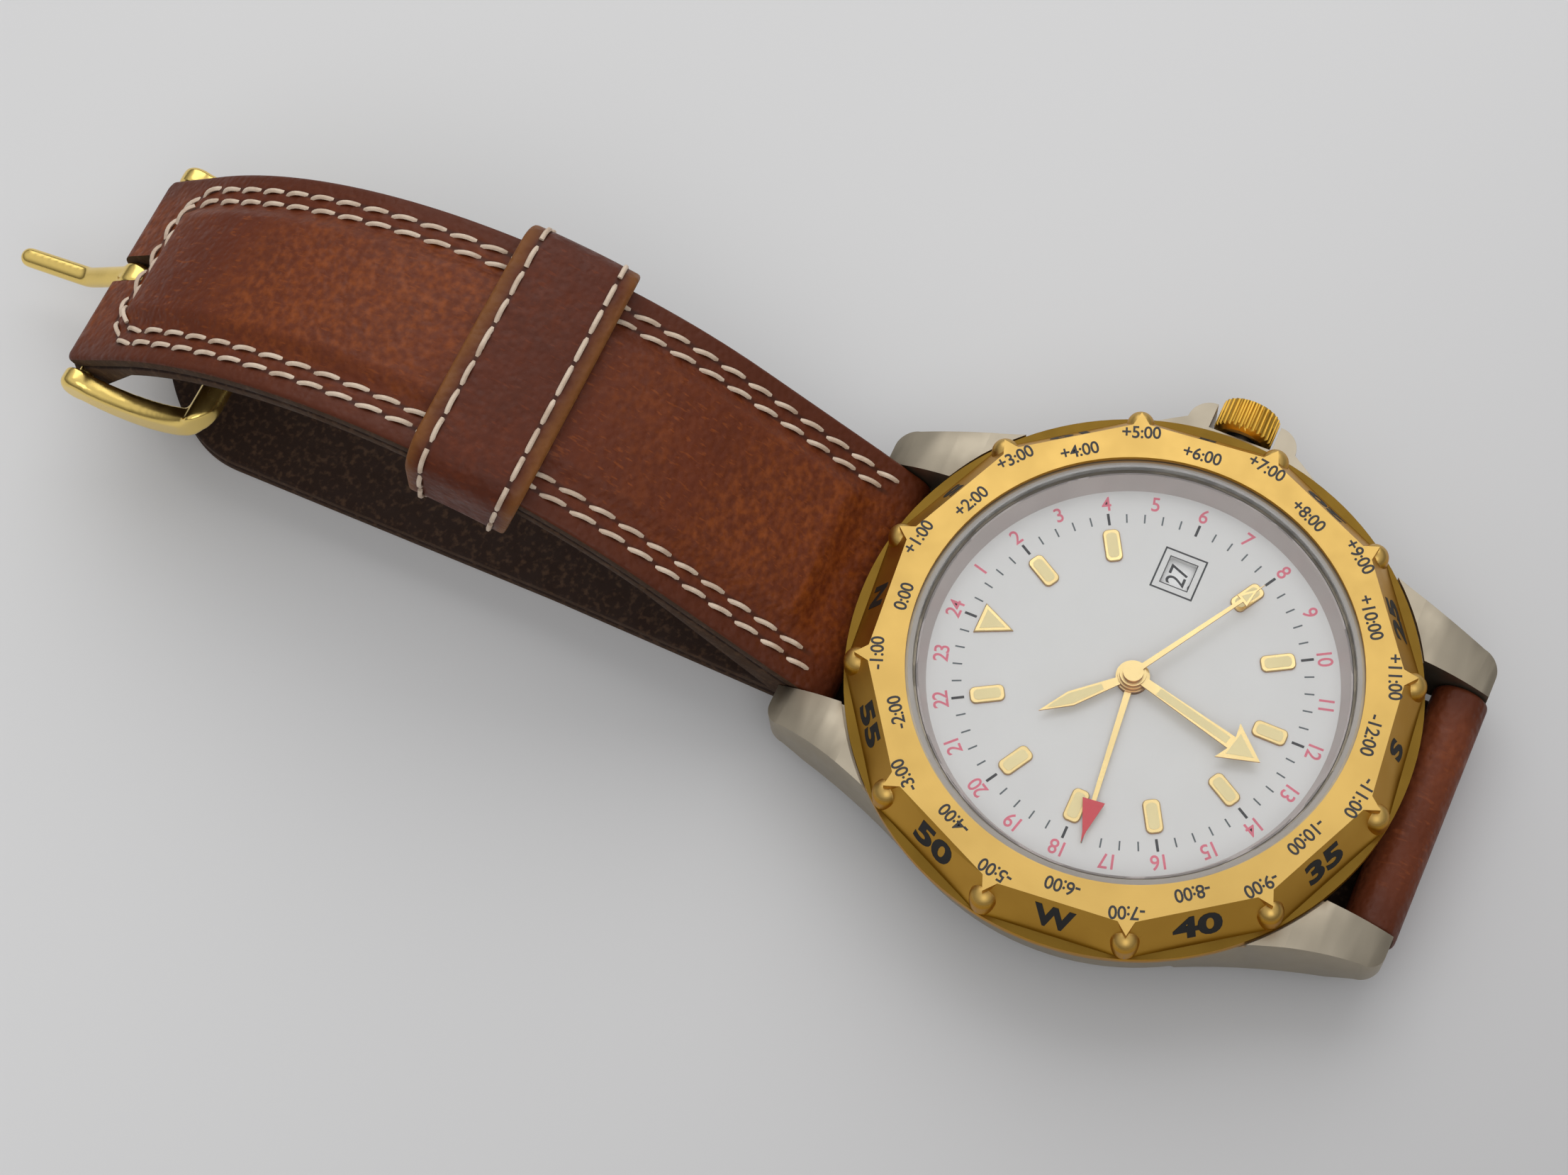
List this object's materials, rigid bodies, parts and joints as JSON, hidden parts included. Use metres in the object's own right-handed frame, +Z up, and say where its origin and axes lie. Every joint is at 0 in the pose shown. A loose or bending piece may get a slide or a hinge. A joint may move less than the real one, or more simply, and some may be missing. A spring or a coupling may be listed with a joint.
{
  "type": "world time watch",
  "caption": "Wristwatch with a turning world time ring, a date window, a 24-hour hand and a padded leather strap with a buckle, its tail folded under the case.",
  "frame": {"origin": "on the surface that the watch lies on, under the centre of the dial", "axes": "+Z up and square to the dial, +Y towards 12 o'clock and the buckle, +X towards the crown"},
  "size_m": [0.0463, 0.1217, 0.025],
  "materials": {
    "strap_leather": "waxed",
    "strap_lining": "rough",
    "strap_padding": "felt",
    "yellow_gold": "polished",
    "bezel_gold": "satin",
    "case_steel": "brushed",
    "bar_steel": "polished",
    "seal_rubber": "matt",
    "seal_plastic": "matt",
    "mineral_glass": "polished",
    "flange_grey": "matt",
    "dial_white": "satin lacquer",
    "marker_gold": "polished rim, luminous fill",
    "hand_gold": "polished",
    "hand_red": "lacquer",
    "plate_nickel": "nickel plated",
    "wheel_brass": "cut",
    "rotor_magnet": "sintered",
    "soft_iron": "annealed",
    "coil_copper": "enamelled wire",
    "battery_steel": "nickel plated",
    "board_green": "solder mask",
    "date_white": "printed"
  },
  "bodies": {
    "case": {"mid_case": "case_steel", "case_back": "case_steel", "case_back_gasket": "seal_rubber", "crown_tube": "case_steel", "bezel_click_wire": "bar_steel", "crystal": "mineral_glass", "crystal_gasket": "seal_plastic", "flange_ring": "flange_grey", "dial": "dial_white", "hour_markers": "marker_gold", "movement_ring": "seal_plastic", "main_plate": "plate_nickel", "train_bridge": "plate_nickel", "movement_screws": "bar_steel", "stator": "soft_iron", "coil": "coil_copper", "battery": "battery_steel", "battery_clamp": "plate_nickel", "circuit_board": "board_green", "quartz_can": "battery_steel", "date_jumper": "bar_steel", "spring_bar_12": "bar_steel", "spring_bar_6": "bar_steel"},
    "bezel": {"bezel": "bezel_gold"},
    "lever": {"setting_lever": "bar_steel"},
    "crown": {"crown": "bezel_gold", "crown_gasket": "seal_rubber", "stem": "bar_steel", "sliding_pinion": "bar_steel"},
    "minutes": {"minute_hand": "hand_gold", "cannon_pinion": "wheel_brass"},
    "hours": {"hour_hand": "hand_gold", "hour_wheel": "wheel_brass"},
    "day_hours": {"gmt_hand": "hand_red", "gmt_wheel": "wheel_brass"},
    "minute_wheel": {"minute_wheel": "wheel_brass"},
    "day_wheel": {"day_wheel": "wheel_brass"},
    "seconds": {"second_hand": "hand_gold", "fourth_wheel": "wheel_brass"},
    "third_wheel": {"third_wheel": "wheel_brass"},
    "centre_wheel": {"centre_wheel": "wheel_brass"},
    "fifth_wheel": {"fifth_wheel": "wheel_brass"},
    "rotor": {"rotor": "rotor_magnet"},
    "date_ring": {"date_ring": "date_white"},
    "strap_12": {"strap_12_leather": "strap_leather", "strap_12_filler": "strap_padding", "strap_12_lining": "strap_lining", "buckle_pin": "yellow_gold"},
    "strap_6": {"strap_6_leather": "strap_leather", "strap_6_lining": "strap_lining"},
    "keeper": {"keeper": "strap_leather"},
    "buckle_frame": {"buckle_frame": "yellow_gold"},
    "buckle_tongue": {"buckle_tongue": "yellow_gold"},
    "tip_12_left": {"bar_tip_12_left": "bar_steel"},
    "tip_12_right": {"bar_tip_12_right": "bar_steel"},
    "tip_6_left": {"bar_tip_6_left": "bar_steel"},
    "tip_6_right": {"bar_tip_6_right": "bar_steel"}
  },
  "joints": [
    {"name": "bezel_turn", "type": "hinge", "parent": "case", "child": "bezel", "pos_m": [0, 0, 0.0093], "axis": [0, 0, 1], "continuous": true},
    {"name": "crown_pull", "type": "slide", "parent": "case", "child": "lever", "axis": [1, 0, 0], "range_m": [0, 0.001]},
    {"name": "crown_turn", "type": "hinge", "parent": "lever", "child": "crown", "pos_m": [0, 0, 0.0073], "axis": [1, 0, 0], "continuous": true},
    {"name": "minute_turn", "type": "hinge", "parent": "case", "child": "minutes", "pos_m": [0, 0, 0.0093], "axis": [0, 0, 1], "continuous": true},
    {"name": "hour_turn", "type": "hinge", "parent": "case", "child": "hours", "pos_m": [0, 0, 0.0093], "axis": [0, 0, 1], "continuous": true},
    {"name": "day_hour_turn", "type": "hinge", "parent": "case", "child": "day_hours", "pos_m": [0, 0, 0.0093], "axis": [0, 0, 1], "continuous": true},
    {"name": "minute_wheel_turn", "type": "hinge", "parent": "case", "child": "minute_wheel", "pos_m": [-0.00294, -0.0017, 0.0093], "axis": [0, 0, 1], "continuous": true},
    {"name": "day_wheel_turn", "type": "hinge", "parent": "case", "child": "day_wheel", "pos_m": [0.00286, 0.00286, 0.0093], "axis": [0, 0, 1], "continuous": true},
    {"name": "second_turn", "type": "hinge", "parent": "case", "child": "seconds", "pos_m": [0, 0, 0.0093], "axis": [0, 0, 1], "continuous": true},
    {"name": "third_turn", "type": "hinge", "parent": "case", "child": "third_wheel", "pos_m": [-0.00198, 0.00198, 0.0093], "axis": [0, 0, 1], "continuous": true},
    {"name": "centre_turn", "type": "hinge", "parent": "case", "child": "centre_wheel", "pos_m": [0, 0, 0.0093], "axis": [0, 0, 1], "continuous": true},
    {"name": "fifth_turn", "type": "hinge", "parent": "case", "child": "fifth_wheel", "pos_m": [0.00319, 0.00116, 0.0093], "axis": [0, 0, 1], "continuous": true},
    {"name": "rotor_turn", "type": "hinge", "parent": "case", "child": "rotor", "pos_m": [0.00526, 0.00041, 0.0093], "axis": [0, 0, 1], "continuous": true},
    {"name": "date_turn", "type": "hinge", "parent": "case", "child": "date_ring", "pos_m": [0, 0, 0.0093], "axis": [0, 0, 1], "continuous": true},
    {"name": "strap_12_lift", "type": "hinge", "parent": "case", "child": "strap_12", "pos_m": [0, 0.0225, 0.005], "axis": [1, 0, 0], "range_deg": [0, 18]},
    {"name": "strap_6_unfold", "type": "hinge", "parent": "case", "child": "strap_6", "pos_m": [0, -0.0225, 0.005], "axis": [-1, 0, 0], "range_deg": [0, 150]},
    {"name": "keeper_slide", "type": "hinge", "parent": "strap_12", "child": "keeper", "pos_m": [0, 0.05673, -0.01574], "axis": [-1, 0, 0], "range_deg": [-8, 22]},
    {"name": "buckle_frame_swing", "type": "hinge", "parent": "strap_12", "child": "buckle_frame", "pos_m": [0, 0.08469, 0.00949], "axis": [-1, 0, 0], "range_deg": [-30, 14]},
    {"name": "buckle_tongue_swing", "type": "hinge", "parent": "strap_12", "child": "buckle_tongue", "pos_m": [0, 0.08469, 0.00949], "axis": [1, 0, 0], "range_deg": [-8, 105]},
    {"name": "tip_12_left_press", "type": "slide", "parent": "case", "child": "tip_12_left", "axis": [1, 0, 0], "range_m": [0, 0.001], "stiffness_N_per_m": 40, "springref_m": -0.0005},
    {"name": "tip_12_right_press", "type": "slide", "parent": "case", "child": "tip_12_right", "axis": [-1, 0, 0], "range_m": [0, 0.001], "stiffness_N_per_m": 40, "springref_m": -0.0005},
    {"name": "tip_6_left_press", "type": "slide", "parent": "case", "child": "tip_6_left", "axis": [1, 0, 0], "range_m": [0, 0.001], "stiffness_N_per_m": 40, "springref_m": -0.0005},
    {"name": "tip_6_right_press", "type": "slide", "parent": "case", "child": "tip_6_right", "axis": [-1, 0, 0], "range_m": [0, 0.001], "stiffness_N_per_m": 40, "springref_m": -0.0005}
  ],
  "couplings": [
    {"joint": "hour_turn", "follows": "minute_turn", "ratio": 0.083333},
    {"joint": "day_hour_turn", "follows": "minute_turn", "ratio": 0.041667},
    {"joint": "minute_wheel_turn", "follows": "minute_turn", "ratio": -0.33333},
    {"joint": "day_wheel_turn", "follows": "minute_turn", "ratio": -0.041667},
    {"joint": "third_turn", "follows": "second_turn", "ratio": -0.125},
    {"joint": "centre_turn", "follows": "second_turn", "ratio": 0.016667},
    {"joint": "fifth_turn", "follows": "second_turn", "ratio": -5},
    {"joint": "rotor_turn", "follows": "second_turn", "ratio": 30}
  ]
}
